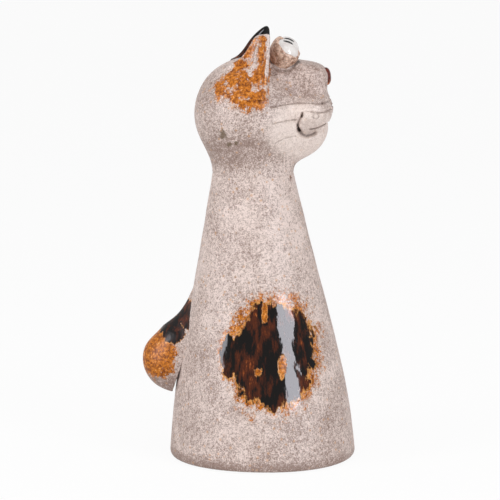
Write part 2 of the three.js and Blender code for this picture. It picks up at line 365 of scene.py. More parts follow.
# %% [markdown]
# The whiskers, the lip and the mouth were drawn into the leather-hard clay with a wooden tool. Each
# stroke is a chain of points, given as (ahead, up) from the middle of the head, then its depth, its
# width and how much stain it took. It runs the same on both cheeks. The tool presses a furrow and
# pushes up a faint burr beside it.
# %% The incised strokes
strokes = [
    ([(16, 7.6), (21, 8.3), (25, 8.7), (34, 9.3), (42, 9.6), (50, 9.0), (58, 10.0)], 0.5, 0.5, 0.75),
    ([(17, -3.8), (21, -3.0), (26, -2.2), (33, -1.8)], 0.45, 0.5, 0.7),
    ([(18.5, -17.6), (22, -15.8), (26, -14.3), (32, -13.5)], 0.4, 0.45, 0.6),
    ([(36.6, 0.6), (36.9, 3.0)], 0.9, 0.9, 0.9),
    ([(36.9, 3.0), (39, 4.0), (43, 3.9)], 0.5, 0.55, 0.25),
    ([(43, 3.9), (48, 3.1), (52, 3.3), (57, 4.6)], 0.8, 0.55, 0.7),
    ([(42, -8.6), (45, -8.3), (48, -7.5), (51, -6.2), (54, -5.0)], 0.9, 0.6, 0.9),
    # These two strokes carve the undercut at the lobe's edge; their stain also paints part of the shadow
    # under the lobe.
    ([(36.8, 1.6), (35.4, -1.2), (34.2, -4), (33.9, -6.5), (34.4, -9.4)], 1.7, 0.9, 0.45),
    ([(34.4, -9.4), (36.2, -12.4), (39.2, -13.9), (43, -13.2), (45, -12.2)], 2.1, 1.3, 0.42),
    ([(15.5, 33.0), (20, 30.6), (24, 30.2), (28, 31.2), (31, 33.6)], 0.9, 1.0, 0.8),
]
ring_middle = (46.2, 0.8)
ring_radius = 1.9
pit_middle = (50.2, 9.0)
curl_middle = (17.0, 30.0)
print(len(strokes), "strokes on each cheek, one ring, one pit and one curl")

# %% [markdown]
# A stroke is measured by the distance to its chain of points. The depth goes into the head's rule,
# so the furrow is real clay relief and not only a bump. The stain becomes a point attribute.
# %% Furrow and stain

def chain_distance(u, v, points):
    best = np.full(u.shape, 1e9)
    for (u0, v0), (u1, v1) in zip(points, points[1:]):
        du, dv = u1 - u0, v1 - v0
        t = np.clip(((u - u0) * du + (v - v0) * dv) / (du * du + dv * dv), 0, 1)
        best = np.minimum(best, np.hypot(u - u0 - t * du, v - v0 - t * dv))
    return best


def stroke_profile(distance, depth, width):
    furrow = np.exp(-(distance / width) ** 2)
    burr = 0.22 * np.exp(-((distance - 2.1 * width) / (0.8 * width)) ** 2)
    return depth * (furrow - burr)


def strokes_at(place):
    """How deep the tool went, and how strongly the stain took, at each point. At the lobe's edge the stain
    also paints shadow.
    """
    u = place[:, 0] - ball_middle[0]
    v = place[:, 2] - ball_middle[2]
    side = smooth_step(3.0, 8.0, np.abs(place[:, 1]))
    near = (u > 10) & (v > -24) & (v < 36)
    depth = np.zeros(len(place))
    stain = np.zeros(len(place))
    u, v, side = u[near], v[near], side[near]
    cut = np.zeros(len(u))
    mark = np.zeros(len(u))
    for points, deep, width, taken in strokes:
        distance = chain_distance(u, v, points)
        cut += stroke_profile(distance, deep, width)
        mark = np.maximum(mark, taken * np.exp(-(distance / width) ** 2))
    ring = np.abs(np.hypot(u - ring_middle[0], v - ring_middle[1]) - ring_radius)
    cut += stroke_profile(ring, 0.4, 0.45)
    mark = np.maximum(mark, 0.6 * np.exp(-(ring / 0.5) ** 2))
    pit = np.hypot(u - pit_middle[0], v - pit_middle[1])
    cut += stroke_profile(pit, 0.9, 1.1)
    mark = np.maximum(mark, np.exp(-(pit / 1.2) ** 2))
    for size in (1.5, 3.0):
        away = np.hypot(u - curl_middle[0], v - curl_middle[1] - 1.2)
        curl = np.hypot(np.abs(away - size), 4 * np.maximum(v - curl_middle[1], 0))
        cut += stroke_profile(curl, 0.4, 0.4)
        mark = np.maximum(mark, 0.8 * np.exp(-(curl / 0.45) ** 2))
    depth[near] = cut * side
    stain[near] = mark * side
    return depth, stain


def head_skin(place):
    """The head without its strokes. Near the neck it takes on the body's own unevenness."""
    to_neck = smooth_step(seam_z + 14, seam_z, place[:, 2])
    return head_lumps(place) + unevenness(place) * (0.7 + 0.3 * to_neck) + 0.1 * to_neck


def head_outside(place):
    return head_skin(place) + strokes_at(place)[0]


deepest = max(deep for points, deep, width, taken in strokes)
print("deepest furrow:", deepest, "mm")

# %% [markdown]
# The eyes are two glazed balls that sit close together on the muzzle, each in a clay lid. The lid
# is a cup whose rim is a flat slice, turned forwards and a little outwards, and below it the clay is
# drawn down onto the head. Two spheres cut by a plane would do, but would show no finger marks.
# %% Eyes and lids
def eye_of(side):
    low, high = box_mm("eyeball_right" if side < 0 else "eyeball_left")
    radius = (high[0] - low[0]) / 2
    y = low[1] + radius if side < 0 else high[1] - radius
    return np.array([(low[0] + high[0]) / 2, y, high[2] - radius - 0.7]), radius


eye_grow = 0.4
lid_thickness = 0.75
lid_drop = np.array([-1.0, 0.0, -4.2])


def eyeball_rule(side):
    middle, radius = eye_of(side)

    def rule(place):
        ball = np.linalg.norm(place - middle, axis=1) - radius - eye_grow
        return np.maximum(ball, -side * place[:, 1] + 0.12)
    return rule


def lid_rule(side):
    middle, radius = eye_of(side)
    facing = np.array([0.61, side * 0.29, 0.74])
    facing /= np.linalg.norm(facing)

    def rule(place):
        offset = place - middle
        away = np.linalg.norm(offset, axis=1)
        outer = radius + eye_grow + lid_thickness
        wave = 0.35 * np.sin(offset[:, 0] * 0.55 + 0.8) + 0.25 * np.sin(offset[:, 1] * 0.9)
        rim = offset @ facing - 0.48 * radius + wave
        pouch = roll(place, middle, middle + lid_drop, outer, outer - 1.4)
        outer_form = soft_join(away - outer, pouch, 2.0) - 0.25 * unevenness(place * 3)
        shell = np.maximum(outer_form, radius + eye_grow - 0.3 - away)
        shell = soft_keep(shell, rim, 0.9)
        return np.maximum(shell, -side * place[:, 1] + 0.06)
    return rule


def all_eyes(place):
    folded = np.stack([place[:, 0], -np.abs(place[:, 1]), place[:, 2]], axis=1)
    middle, radius = eye_of(-1)
    outer = radius + eye_grow + lid_thickness
    pouch = roll(folded, middle, middle + lid_drop, outer, outer - 1.4)
    return soft_join(np.linalg.norm(folded - middle, axis=1) - outer, pouch, 2.0)


print("eye radius", round(eye_of(-1)[1], 2))

# %% [markdown]
# The head is hollow and open at the neck, with its rim tucked inside the body's rim, so that only a
# faint line shows where the two halves were luted together.
# %% The hollow head's rule
def head_rule(place):
    z = place[:, 2]
    hollow = np.linalg.norm(place - ball_middle, axis=1) - (ball_radius - head_wall)
    bore = np.maximum(column(place, wall_at(z)), z - ball_middle[2])
    hollow = soft_join(hollow, bore, 6.0)
    tuck = 0.25 * smooth_step(seam_z + 0.9, seam_z + 0.1, z)
    solid = soft_keep(head_outside(place) + tuck, -hollow, 0.5)
    return np.maximum(solid, seam_z - 1.0 - z)


print("the head's hollow is", round(2 * (ball_radius - head_wall), 1), "mm across")

# %% [markdown]
# A furrow half a millimetre wide needs small faces, but only there. So the faces near a stroke are
# split and settled again, twice, and the rest of the skin stays light.
# %% Refine the skin near a line
def refine(piece, rule, distance_to, reaches, smooth_rule, marks):
    mesh = piece.data
    for reach in reaches:
        work = bmesh.new()
        work.from_mesh(mesh)
        place = np.array([v.co for v in work.verts]) / MM
        near = distance_to(place) < reach
        edges = [e for e in work.edges if near[e.verts[0].index] and near[e.verts[1].index]]
        bmesh.ops.subdivide_edges(work, edges=edges, cuts=1, use_grid_fill=True)
        work.to_mesh(mesh)
        work.free()
        place = np.array([v.co for v in mesh.vertices]) / MM
        near = distance_to(place) < reach + 1.5
        place[near] = settle(rule, place[near], 0.5)
        mesh.vertices.foreach_set("co", (place * MM).astype(np.float32).ravel())
        mesh.update()
    mesh.shade_smooth()
    finish_mesh(piece, smooth_rule, marks)


print("each round halves the faces' edges")

# %% [markdown]
# Now the head is skinned and refined. Distances to the strokes say where to refine, and the inside of
# the hollow and the hidden middle of the face are left out.
# %% Skin the head
def stroke_distance(place):
    u = place[:, 0] - ball_middle[0]
    v = place[:, 2] - ball_middle[2]
    best = np.full(len(place), 1e9)
    for points, deep, width, taken in strokes:
        best = np.minimum(best, chain_distance(u, v, points))
    best = np.minimum(best, np.abs(np.hypot(u - ring_middle[0], v - ring_middle[1]) - ring_radius))
    best = np.minimum(best, np.hypot(u - pit_middle[0], v - pit_middle[1]))
    best = np.minimum(best, np.abs(np.hypot(u - curl_middle[0], v - curl_middle[1] - 1.2) - 2.2))
    inside = np.linalg.norm(place - ball_middle, axis=1) < ball_radius - 3
    return np.where(inside | (np.abs(place[:, 1]) < 3), 1e9, best)


def face_hollow(place):
    normals = slope_of(head_lumps, place)
    normals /= np.maximum(np.linalg.norm(normals, axis=1), 1e-6)[:, None]
    return hollow_of(lambda p: np.minimum(head_lumps(p), all_eyes(p)), place + normals * 0.3, normals)


head_marks = {"stain": lambda p: strokes_at(p)[1], "hollow": face_hollow}
head_reach = muzzle_middle[0] + 29
place, faces = skin(head_rule, (ball_low[0] - 1, ball_low[1] - 1, seam_z - 1),
                    (head_reach, ball_high[1] + 1, ball_high[2] + 2), 1.05)
head = make_piece("head_clay", place, faces)
refine(head, head_rule, stroke_distance, (2.2, 1.2), None, head_marks)

# %% [markdown]
# The body is a plain form, so larger faces are enough for it. Only the rim of the vent is refined.
# %% Skin the body
place, faces = skin(body_rule, body_low, body_high, 1.5)
body = make_piece("body_clay", place, faces)
refine(body, body_rule, vent, (3.0, 2.0), None, {})

# %% [markdown]
# The nose is a small button of red-brown glaze, pressed onto the front of the muzzle. It is an egg
# with the muzzle's clay cut away from its back, so it fits the muzzle without a gap.
# %% The nose button
nose_low, nose_high = box_mm("nose_tip")
nose_middle = np.array([nose_high[0] - 3.1, 0.0, (nose_low[2] + nose_high[2]) / 2 - 2.9])


def nose_rule(place):
    button = lump(place, nose_middle, (3.7, 5.4, 6.2), nod=-6, power=2.4)
    return np.maximum(button, -(head_lumps(place) + 1.0))


place, faces = skin(nose_rule, nose_middle - 7, nose_middle + 7, 0.3)
nose = make_piece("nose_button", place, faces)

# %% [markdown]
# The eyeballs and lids are skinned with finer faces than the head, because they catch the light.
# %% Skin the eyeballs and lids
eyeballs = {}
lids = {}
for side, word in ((-1, "right"), (1, "left")):
    middle = eye_of(side)[0]
    place, faces = skin(eyeball_rule(side), middle - 10, middle + 10, 0.45)
    eyeballs[side] = make_piece("eyeball_" + word + "_glaze", place, faces)
    place, faces = skin(lid_rule(side), middle - 14.5, middle + 11, 0.4)
    lids[side] = make_piece("eyelid_" + word + "_clay", place, faces)

# %% [markdown]
# Each pupil is one stroke of black glaze, thick in the middle and pointed at its ends. It stands a
# hair proud of the white. Both eyes glance up and to the cat's right.
# %% The slit pupils
def pupil_rule(side):
    middle, radius = eye_of(side)
    radius += eye_grow
    start = np.array([-0.06, -0.42, 0.91])
    end = np.array([0.62, -0.42, 0.66])
    start = middle + radius * start / np.linalg.norm(start)
    end = middle + radius * end / np.linalg.norm(end)

    def rule(place):
        axis = end - start
        along = (place - start) @ axis / (axis @ axis)
        nearest = start + np.clip(along, 0, 1)[:, None] * axis
        bow = nearest - middle
        nearest = middle + bow / np.linalg.norm(bow, axis=1)[:, None] * radius
        width = 0.3 + 0.85 * np.sqrt(np.clip(4 * along * (1 - along), 0, 1))
        spot = np.linalg.norm(place - nearest, axis=1) - width
        away = np.linalg.norm(place - middle, axis=1)
        return soft_keep(spot, np.abs(away - radius) - 0.14, 0.15)
    return rule


pupils = {}
for side, word in ((-1, "right"), (1, "left")):
    middle = eye_of(side)[0]
    place, faces = skin(pupil_rule(side), middle + np.array([-4, -8, 2]), middle + 11, 0.2)
    pupils[side] = make_piece("pupil_" + word + "_glaze", place, faces)

# %% [markdown]
# An ear is a pinched leaf of clay. Each leaf has its own axes: along its foot, up to its tip, and out
# of its face. In these axes the outline is three straight edges with rounded corners. The left leaf
# stands a little further back and ends in a blunter tip.
# %% The ears' axes and outlines
ear_height = 31.0
ear_root = 12.0


def ear_axes(side):
    along = np.array([0.69, side * 0.58, -0.43])
    along /= np.linalg.norm(along)
    up = np.array([0.4, side * 0.19, 0.9])
    up -= along * (up @ along)
    up /= np.linalg.norm(up)
    way = np.array([2.6, side * 20.5, 29.0])
    foot = ball_middle + way / np.linalg.norm(way) * (ball_radius - 3.3)
    if side > 0:
        foot = foot - np.array([2.5, 0.0, 0.0])
    return foot, along, up, np.cross(along, up)


def ear_local(side, place):
    foot, along, up, facing = ear_axes(side)
    offset = place - foot
    return offset @ along, offset @ up, -side * (offset @ facing)


def ear_edge(side, a, b):
    """The leaf's outline as seen from its face: a straight front, a steep rear and a blunt top."""
    front = (a + 0.62 * b - 18.0) * 0.85
    rear = -11.6 - 3.9 * np.exp(-np.clip(b, 0, 40) / 5.5) - a
    start, rise = ((-11.8, 24.2), 0.65) if side < 0 else ((-13.5, 20.6), 1.25)
    top = (b - start[1] - rise * (a - start[0])) / math.hypot(1, rise)
    return soft_keep(soft_keep(front, rear, 2.0), top, 3.0 if side < 0 else 6.0)


print("right ear foot:", ear_axes(-1)[0].round(1))

# %% [markdown]
# The leaf's rims curl outwards, so it holds a shallow cup, and a low fold runs down inside it. The
# leaf is joined to the head softly, and only the clay that stands out of the head is kept, as a cap
# that lies on the head's own surface.
# %% The ears
def ear_fold(a, b):
    fold_line = -5.0 + 9.0 * (15.8 - b) / 19.7
    return np.exp(-((a - fold_line) / (1.1 + 0.09 * (16 - b))) ** 2) * smooth_step(21, 13, b)


def ear_leaf(side, place):
    a, b, c = ear_local(side, place)
    edge = soft_keep(ear_edge(side, a, b), -ear_root - b, 2.0)
    middle = 1.4 - 0.31 * np.clip(b, 0, 40)
    bend = 5.4 * (((a - middle) / 16.0) ** 2 - 0.3)
    fold = 1.2 * ear_fold(a, b)
    thick = 2.1 - 0.7 * np.clip(b / ear_height, 0, 1)
    rim = 0.45 * np.exp(-(edge / 1.5) ** 2)
    sheet = (np.abs(c - bend - 0.5 * fold) - thick - 0.5 * fold - rim) * 0.88
    return soft_keep(sheet, edge, 2.4)


def ear_rule(side):
    def joined(place):
        head_here = head_skin(place)
        return soft_join(head_here, ear_leaf(side, place), 4.0)

    def rule(place):
        head_here = head_skin(place)
        leaf = ear_leaf(side, place)
        return np.maximum(np.maximum(soft_join(head_here, leaf, 4.0) - 0.05, leaf - 4.0),
                          -(head_here + 0.9))
    return rule, joined


def ear_mark(side, place, kind):
    a, b, c = ear_local(side, place)
    if kind == "fold":
        return ear_fold(a, b) * (c > 0)
    edge = ear_edge(side, a, b)
    return np.exp(-((edge + 0.35) / 0.65) ** 2) * smooth_step(3, 9, b)


ears = {}
for side, word in ((-1, "right"), (1, "left")):
    low, high = box_mm("ear_" + word)
    rule, joined = ear_rule(side)
    place, faces = skin(rule, low - 6, high + 3, 0.48)
    marks = {
        "rim": lambda p, s=side: ear_mark(s, p, "rim"),
        "fold": lambda p, s=side: ear_mark(s, p, "fold"),
    }
    ears[side] = make_piece("ear_" + word + "_leaf", place, faces, joined, marks)

# %% [markdown]
# The tail is a thick drop that hangs down the back. Its tip is smoothed into the body, and its round
# end stands free, with a crack of shadow that opens downwards. An egg and a tapered roll, joined
# softly, give the drop, and the width of the join to the body grows from the end to the tip.
# %% The tail
tail_low, tail_high = box_mm("tail")
tail_middle = np.array([tail_low[0] + 27.0, 0.0, 66.7])
tail_tip = tail_middle + np.array([12.3, 0.0, 42.0])


def tail_drop(place):
    round_end = lump(place, tail_middle, (26.1, 17.3, 23.3), nod=6.5)
    neck = roll(place, tail_middle + np.array([3.3, 0.0, 18.5]), tail_tip, 13.3, 4.8)
    return soft_join(round_end, neck, 11.0) + unevenness(place)


def tail_melt(z):
    return 0.8 + 6.0 * smooth_step(tail_middle[2] + 6, tail_middle[2] + 26, z)


def tail_joined(place):
    z = place[:, 2]
    away = 12.0 * smooth_step(tail_middle[2] + 14, tail_middle[2] + 2, z)
    return soft_join(body_outside(place) + away, tail_drop(place), tail_melt(z))


def tail_rule(place):
    z = place[:, 2]
    crack = 1.5 * smooth_step(tail_middle[2] + 12, tail_middle[2] - 16, z)
    inner = -(body_outside(place) + 0.9 - 1.8 * crack)
    drop = tail_drop(place)
    return soft_keep(np.maximum(tail_joined(place) - 0.05, drop - tail_melt(z)), inner, 0.8)


place, faces = skin(tail_rule, tail_low - 3, tail_high + 12, 0.8)
tail = make_piece("tail_drop", place, faces, tail_joined)

# %% [markdown]
# Glazes and clay are built from shader nodes. A few short helpers keep the node code readable: put
# adds a node and fills its sockets, sums does arithmetic, fade makes a soft step, mixed blends two
# colours and noise gives a cloudy pattern that can be stretched.
# %% Node helpers
def paint(red, green, blue):
    """A colour as a painter names it, 0 to 255, turned into the linear light that shaders use."""
    def linear(value):
        value /= 255
        return value / 12.92 if value <= 0.04045 else ((value + 0.055) / 1.055) ** 2.4
    return (linear(red), linear(green), linear(blue), 1.0)


def put(tree, kind, sockets=None, **settings):
    made = tree.nodes.new(kind)
    for name, value in settings.items():
        setattr(made, name, value)
    for name, value in (sockets or {}).items():
        if isinstance(value, bpy.types.NodeSocket):
            tree.links.new(value, made.inputs[name])
        else:
            made.inputs[name].default_value = value
    return made


def sums(tree, operation, *values):
    return put(tree, "ShaderNodeMath", dict(enumerate(values)), operation=operation).outputs[0]


def fade(tree, value, low, high, to_low=0.0, to_high=1.0):
    """Turns a value between low and high into a smooth step."""
    made = put(tree, "ShaderNodeMapRange", {"Value": value, "From Min": low, "From Max": high,
                                            "To Min": to_low, "To Max": to_high},
               interpolation_type="SMOOTHSTEP")
    return made.outputs["Result"]


def mixed(tree, factor, a, b, way="MIX"):
    made = put(tree, "ShaderNodeMix", {0: factor, 6: a, 7: b}, data_type="RGBA", blend_type=way)
    return made.outputs[2]


def noise(tree, place, scale, detail=2.0, rough=0.5, stretch=(1, 1, 1), shift=(0, 0, 0)):
    moved = put(tree, "ShaderNodeMapping", {"Vector": place, "Scale": stretch, "Location": shift})
    made = put(tree, "ShaderNodeTexNoise", {"Vector": moved.outputs[0], "Scale": scale,
                                            "Detail": detail, "Roughness": rough})
    return made.outputs[0]


print("the clay's pale tone in linear light:", [round(v, 2) for v in paint(230, 213, 206)])

# %% [markdown]
# An effect that several finishes share is a node group. It is built once with named inputs, and each
# material places it with its own values, so one change to the clay reaches every piece.
# %% Node group helpers
def new_group(name, takes, gives):
    tree = bpy.data.node_groups.new(name, "ShaderNodeTree")
    for label, kind, value in takes:
        socket = tree.interface.new_socket(label, in_out="INPUT", socket_type=kind)
        if value is not None:
            socket.default_value = value
    for label, kind in gives:
        tree.interface.new_socket(label, in_out="OUTPUT", socket_type=kind)
    return tree, tree.nodes.new("NodeGroupInput").outputs, tree.nodes.new("NodeGroupOutput").inputs


def use(tree, group, **values):
    made = tree.nodes.new("ShaderNodeGroup")
    made.node_tree = group
    for label, value in values.items():
        socket = made.inputs[label.replace("_", " ")]
        if isinstance(value, bpy.types.NodeSocket):
            tree.links.new(value, socket)
        else:
            socket.default_value = value
    return made.outputs


FLOAT = "NodeSocketFloat"
VECTOR = "NodeSocketVector"
COLOUR = "NodeSocketColor"
print("socket kinds:", FLOAT, VECTOR, COLOUR)

# %% [markdown]
# The clay is a pale pinkish stoneware under a thin matt glaze. Iron grains in the clay bleed through
# it as a fine mottle of about a millimetre, with a few darker dots and tan specks. Every piece of
# clay shares this group, and each gives it its own tone. Calm wipes the mottle away, as a wet finger
# does.
# %% Group: speckled stoneware
clay_group, take, give = new_group(
    "Speckled stoneware",
    [("Place", VECTOR, None), ("Pale", COLOUR, paint(230, 213, 206)),
     ("Dark", COLOUR, paint(148, 126, 117)), ("Tone", FLOAT, 0.0), ("Calm", FLOAT, 0.0)],
    [("Colour", COLOUR), ("Height", FLOAT)])
tree = clay_group
fine = noise(tree, take["Place"], 1100, 3.0, 0.7)
coarse = noise(tree, take["Place"], 420, 2.0, 0.5, shift=(0.3, 0.1, 0.2))
cloud = noise(tree, take["Place"], 46, 4.0, 0.62, shift=(0.7, 0.4, 0.1))
grain = sums(tree, "MULTIPLY_ADD", fine, 0.74, sums(tree, "MULTIPLY", coarse, 0.26))
grain = sums(tree, "ADD", grain, sums(tree, "MULTIPLY_ADD", cloud, 0.30, -0.155))
grain = sums(tree, "SUBTRACT", grain, take["Tone"])
body_tone = mixed(tree, fade(tree, grain, 0.34, 0.60), take["Dark"], take["Pale"])
cells = put(tree, "ShaderNodeTexVoronoi", {"Vector": take["Place"], "Scale": 330.0})
chosen = put(tree, "ShaderNodeSeparateColor", {0: cells.outputs["Color"]})
dot = fade(tree, cells.outputs["Distance"], 0.30, 0.12)
dot = sums(tree, "MULTIPLY", dot, fade(tree, chosen.outputs[0], 0.72, 0.80))
body_tone = mixed(tree, sums(tree, "MULTIPLY", dot, 0.6), body_tone, paint(108, 84, 68))
tan = fade(tree, cells.outputs["Distance"], 0.42, 0.2)
tan = sums(tree, "MULTIPLY", tan, fade(tree, chosen.outputs[1], 0.80, 0.88))
body_tone = mixed(tree, sums(tree, "MULTIPLY", tan, 0.55), body_tone, paint(206, 160, 120))
quiet = mixed(tree, fade(tree, grain, 0.25, 0.7), paint(216, 199, 190), paint(244, 230, 222))
body_tone = mixed(tree, take["Calm"], body_tone, quiet)
tree.links.new(body_tone, give["Colour"])
tree.links.new(grain, give["Height"])
print(clay_group.name, "has", len(tree.nodes), "nodes")

# %% [markdown]
# A splash of glaze is an oval area with a ragged edge. The group measures how deep a point lies in
# it: 1 at the middle, 0 at the edge and negative outside. Noise, drawn out downwards because glaze
# runs, makes the edge ragged. Squareness above 2 fills the oval out towards its box.
# %% Group: splash area
splash_group, take, give = new_group(
    "Splash area",
    [("Place", VECTOR, None), ("Middle", VECTOR, (0, 0, 0)), ("Half size", VECTOR, (1, 1, 1)),
     ("Squareness", FLOAT, 2.0), ("Ragged", FLOAT, 0.3), ("Grain", FLOAT, 90.0)],
    [("Depth", FLOAT)])
tree = splash_group
offset = put(tree, "ShaderNodeVectorMath", {0: take["Place"], 1: take["Middle"]}, operation="SUBTRACT")
share = put(tree, "ShaderNodeVectorMath", {0: offset.outputs[0], 1: take["Half size"]}, operation="DIVIDE")
share = put(tree, "ShaderNodeVectorMath", {0: share.outputs[0]}, operation="ABSOLUTE")
parts = put(tree, "ShaderNodeSeparateXYZ", {0: share.outputs[0]})
powers = [sums(tree, "POWER", part, take["Squareness"]) for part in parts.outputs]
total = sums(tree, "ADD", powers[0], sums(tree, "ADD", powers[1], powers[2]))
away = sums(tree, "POWER", total, sums(tree, "DIVIDE", 1.0, take["Squareness"]))
wide = put(tree, "ShaderNodeTexNoise", {"Vector": take["Place"], "Scale": take["Grain"], "Detail": 4.0,
                                        "Roughness": 0.62})
runs = put(tree, "ShaderNodeMapping", {"Vector": take["Place"], "Scale": (1.0, 1.0, 0.35)})
runs = put(tree, "ShaderNodeTexNoise", {"Vector": runs.outputs[0], "Scale": 420.0, "Detail": 2.0})
jag = sums(tree, "MULTIPLY_ADD", runs.outputs[0], 0.45, wide.outputs[0])
jag = sums(tree, "SUBTRACT", jag, 0.725)
depth = sums(tree, "SUBTRACT", 1.0, away)
depth = sums(tree, "MULTIPLY_ADD", jag, take["Ragged"], depth)
tree.links.new(depth, give["Depth"])
print(splash_group.name, "has", len(tree.nodes), "nodes")

# %% [markdown]
# Where the iron glaze is thin it breaks into orange specks and small rings, with the pale clay
# showing between them. The cover grows with the amount, from single specks to a closed orange film.
# %% Group: broken iron glaze
iron_group, take, give = new_group(
    "Broken iron glaze",
    [("Place", VECTOR, None), ("Amount", FLOAT, 0.5)],
    [("Colour", COLOUR), ("Cover", FLOAT)])
tree = iron_group
specks = noise(tree, take["Place"], 820, 4.0, 0.8, stretch=(1, 1, 0.8), shift=(0.2, 0.9, 0.4))
patches = noise(tree, take["Place"], 240, 3.0, 0.6, shift=(0.5, 0.3, 0.8))
level = sums(tree, "MULTIPLY_ADD", patches, 0.55, sums(tree, "MULTIPLY", specks, 0.95))
level = sums(tree, "ADD", level, take["Amount"])
cover = fade(tree, level, 1.12, 1.32)
tint = noise(tree, take["Place"], 480, 3.0, 0.7, shift=(0.1, 0.6, 0.3))
orange = mixed(tree, fade(tree, tint, 0.36, 0.62), paint(122, 62, 20), paint(208, 124, 36))
orange = mixed(tree, fade(tree, tint, 0.60, 0.70), orange, paint(228, 178, 112))
orange = mixed(tree, fade(tree, level, 1.26, 1.14), orange, paint(196, 146, 96))
tree.links.new(orange, give["Colour"])
tree.links.new(cover, give["Cover"])
print(iron_group.name, "has", len(tree.nodes), "nodes")

# %% [markdown]
# Where it is thick the same glaze is a glossy black-brown, like tortoiseshell. Red-brown streaks run
# down in it, and a few thin places glow amber.
# %% Group: tortoiseshell glaze
shell_group, take, give = new_group(
    "Tortoiseshell glaze",
    [("Place", VECTOR, None), ("Depth", FLOAT, 1.0)],
    [("Colour", COLOUR)])
tree = shell_group
streak = noise(tree, take["Place"], 300, 4.0, 0.7, stretch=(1, 1, 0.22), shift=(0.4, 0.2, 0.6))
pool = noise(tree, take["Place"], 70, 2.0, 0.5, stretch=(1, 1, 0.5), shift=(0.9, 0.5, 0.2))
warm = sums(tree, "MULTIPLY_ADD", pool, 0.75, sums(tree, "MULTIPLY", streak, 0.75))
dark_tone = mixed(tree, fade(tree, warm, 0.70, 0.86), paint(10, 6, 5), paint(76, 32, 12))
dark_tone = mixed(tree, fade(tree, warm, 0.86, 0.96), dark_tone, paint(158, 80, 32))
amber = mixed(tree, fade(tree, streak, 0.35, 0.62), paint(104, 52, 22), paint(226, 160, 88))
rim = fade(tree, sums(tree, "MULTIPLY_ADD", streak, -0.14, take["Depth"]), 0.02, -0.06)
dark_tone = mixed(tree, rim, dark_tone, amber)
tree.links.new(dark_tone, give["Colour"])
print("node groups:", [g.name for g in bpy.data.node_groups])

# %% [markdown]
# Each material starts from the same sheet: object coordinates, a group of speckled clay, and a
# Principled shader whose plain settings are written straight on its sockets.
# %% Start a material
def start_material(name):
    material = bpy.data.materials.new(name)
    material.use_nodes = True
    tree = material.node_tree
    shader = tree.nodes["Principled BSDF"]
    place = tree.nodes.new("ShaderNodeTexCoord").outputs["Object"]
    return material, tree, shader, place


def metres(values):
    return tuple(float(v) * MM for v in values)


def splash(tree, place, middle, half, squareness=2.2, ragged=0.5, grain=90.0):
    return use(tree, splash_group, Place=place, Middle=metres(middle), Half_size=metres(half),
               Squareness=squareness, Ragged=ragged, Grain=grain)["Depth"]


def set_bump(tree, shader, height, strength, distance):
    bump = put(tree, "ShaderNodeBump", {"Height": height, "Strength": strength,
                                        "Distance": distance * MM})
    tree.links.new(bump.outputs[0], shader.inputs["Normal"])


print("splash middles are given in mm and stored in metres:", metres((10, 20, 30)))

# %% [markdown]
# Body, ears and tail are the same clay with glaze laid over it, so one function makes them all. It is
# told where the dark glaze lies, how much orange there is, and where the clay is darker. The clay is
# matt, and the glaze turns glassy where it is thick.
# %% Clay under glaze
glaze_ior = 1.26
smoothest = 0.07
orange_sheen = -0.2        # orange glaze is a little smoother than bare clay


def glazed_clay(name, tone, areas, roughness=0.55, shine=0.47):
    """Speckled clay with splashes. areas(tree, place) gives the depth in the dark glaze, the amount
    of orange glaze and the extra tone, each a socket or a number."""
    material, tree, shader, place = start_material(name)
    dark_depth, orange_amount, extra = areas(tree, place)
    total_tone = sums(tree, "ADD", extra, tone)
    clay = use(tree, clay_group, Place=place, Tone=total_tone)
    iron = use(tree, iron_group, Place=place, Amount=orange_amount)
    shell = use(tree, shell_group, Place=place, Depth=dark_depth)
    colour = mixed(tree, iron["Cover"], clay["Colour"], iron["Colour"])
    dark = fade(tree, dark_depth, -0.01, 0.03)
    colour = mixed(tree, dark, colour, shell["Colour"])
    tree.links.new(colour, shader.inputs["Base Color"])
    gloss = sums(tree, "MULTIPLY_ADD", iron["Cover"], orange_sheen, roughness)
    glassy = fade(tree, dark_depth, -0.22, -0.02)
    gloss = sums(tree, "MULTIPLY_ADD", glassy, -shine, gloss)
    gloss = sums(tree, "MAXIMUM", gloss, smoothest)
    tree.links.new(gloss, shader.inputs["Roughness"])
    height = sums(tree, "MULTIPLY", clay["Height"], sums(tree, "SUBTRACT", 1.0, dark))
    wavy = noise(tree, place, 150, 2.0, 0.6, stretch=(1, 1, 0.6), shift=(0.9, 0.1, 0.4))
    height = sums(tree, "MULTIPLY_ADD", wavy, sums(tree, "MULTIPLY", dark, 2.2), height)
    set_bump(tree, shader, height, 0.35, 0.25)
    shader.inputs["IOR"].default_value = glaze_ior
    return material


print("index of refraction of every glaze:", glaze_ior)

# %% [markdown]
# The body's glaze splash lies on its right flank: a tall dark shield with a halo of orange specks and
# a few tan islands where the glaze crawled back. The clay grows a little darker towards the foot, and
# the inside of the vent is darkened as painted shade.
# %% The body's splash
flank_y = -52


def flank(tree, place):
    """The shield-shaped splash, a smaller one beside it, and the tan islands inside."""
    x = foot_x + 10.3
    z = 81.0
    shield = splash(tree, place, (x, flank_y, z), (28.0, 62, 36.5), 2.25, 0.62, 110.0)
    islands = [
        splash(tree, place, (x - 10.6, flank_y, z - 11.5), (2.4, 30, 2.4), 2.0, 1.6, 420.0),
        splash(tree, place, (x + 5.6, flank_y, z - 8.0), (2.5, 30, 6.2), 2.0, 1.4, 300.0),
        splash(tree, place, (x - 6.6, flank_y, z + 28.5), (1.6, 30, 6.5), 2.0, 1.6, 380.0),
    ]
    beside = splash(tree, place, (x - 31, flank_y, z - 2), (7, 62, 15), 2.0, 1.1, 130.0)
    return sums(tree, "MAXIMUM", shield, beside), islands


